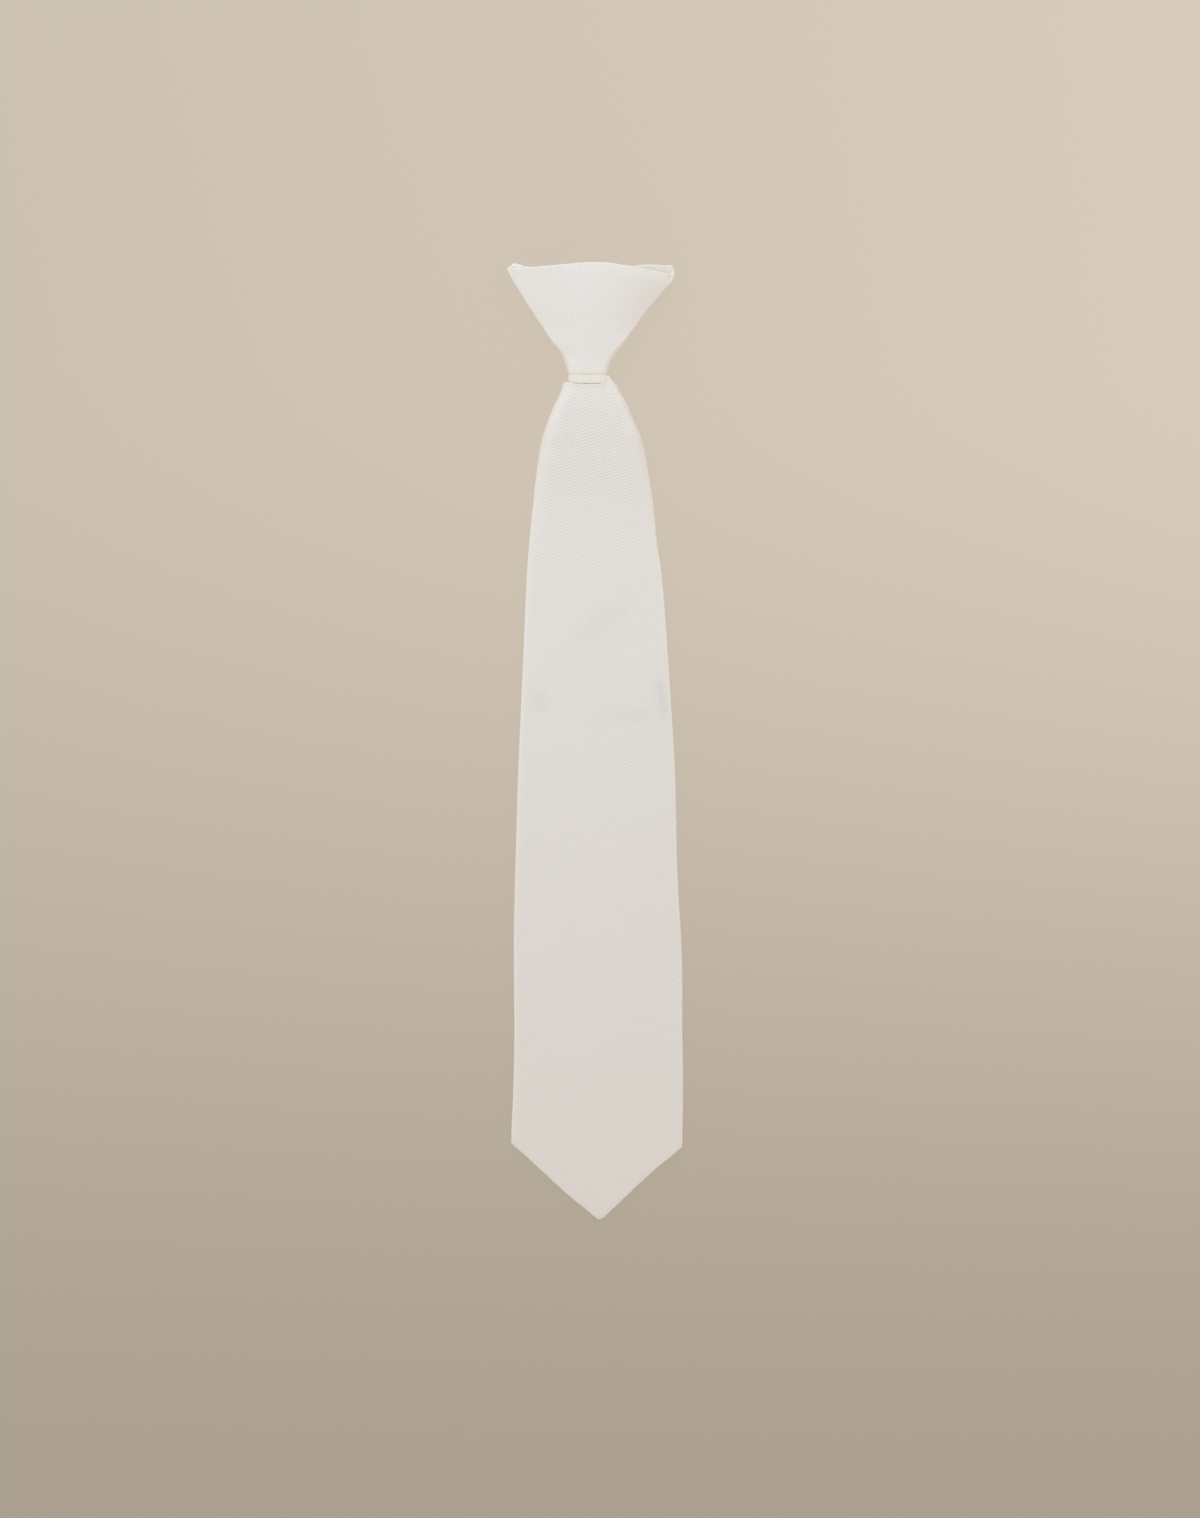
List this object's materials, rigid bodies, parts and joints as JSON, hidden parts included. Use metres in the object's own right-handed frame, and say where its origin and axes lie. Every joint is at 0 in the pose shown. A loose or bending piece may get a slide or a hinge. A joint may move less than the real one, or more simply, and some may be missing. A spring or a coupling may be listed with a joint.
{
  "type": "pre-tied necktie",
  "caption": "Off-white ribbed clip necktie: pointed blade folded to a back seam, narrow waist band, open flared knot and a hidden bent collar clasp.",
  "frame": {"origin": "bottom centre of the box round the whole tie, on the plane that it lies on", "axes": "+X to the tie's right as seen from the front, +Y up the tie from the point to the knot, +Z out of its front"},
  "size_m": [0.0838, 0.457, 0.024],
  "materials": {
    "tie_cloth": "off-white woven cloth with a fine slanting rib, soft satin sheen",
    "facing_cloth": "smooth plain off-white lining cloth",
    "clasp_plastic": "moulded white plastic, satin"
  },
  "bodies": {
    "root": {"blade": "tie_cloth", "tip_facing": "facing_cloth", "knot": "tie_cloth", "knot_band": "tie_cloth", "collar_clip": "clasp_plastic"}
  },
  "joints": []
}
